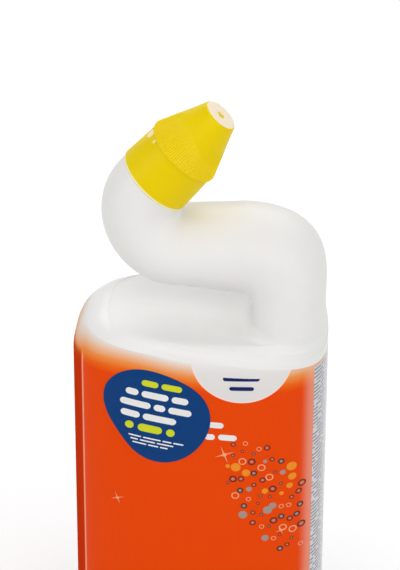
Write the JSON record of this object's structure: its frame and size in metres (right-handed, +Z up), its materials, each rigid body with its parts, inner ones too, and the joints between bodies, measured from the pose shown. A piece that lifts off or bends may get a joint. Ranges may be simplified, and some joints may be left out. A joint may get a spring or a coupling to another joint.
{
  "type": "toilet cleaner bottle",
  "caption": "Upright oval bottle with an S-bent neck that points its jet nozzle under a rim, closed by a ribbed squeeze-and-turn screw cap.",
  "frame": {"origin": "on the ground, under the middle of the body", "axes": "+Z up, +X to the right when the front is seen (the neck rises at +X and its mouth points up over it), front towards -Y"},
  "size_m": [0.0984, 0.0626, 0.2594],
  "materials": {
    "white_shell": "satin blow-moulded polyethylene",
    "nozzle_white": "smooth soft polyethylene",
    "yellow_cap": "satin moulded polypropylene",
    "seal": "soft foam liner",
    "printed_film": "glossy printed shrink film",
    "sticker": "satin printed sticker",
    "cleaner": "clear gel"
  },
  "bodies": {
    "bottle_body": {"bottle": "white_shell", "nozzle": "nozzle_white", "shrink_sleeve": "printed_film", "promo_sticker": "sticker", "liquid": "cleaner"},
    "seal_body": {"seal_ring": "seal"},
    "cap_body": {"cap": "yellow_cap"}
  },
  "joints": [
    {"name": "cap_lift", "type": "slide", "parent": "bottle_body", "child": "seal_body", "axis": [0.6561, 0, 0.7547], "range_m": [0, 0.0051]},
    {"name": "cap_turn", "type": "hinge", "parent": "seal_body", "child": "cap_body", "pos_m": [-0.01796, 0, 0.22627], "axis": [0.6561, 0, 0.7547], "range_deg": [0, 450]}
  ],
  "couplings": [
    {"joint": "cap_lift", "follows": "cap_turn", "m_per_rad": 0.00063662}
  ]
}
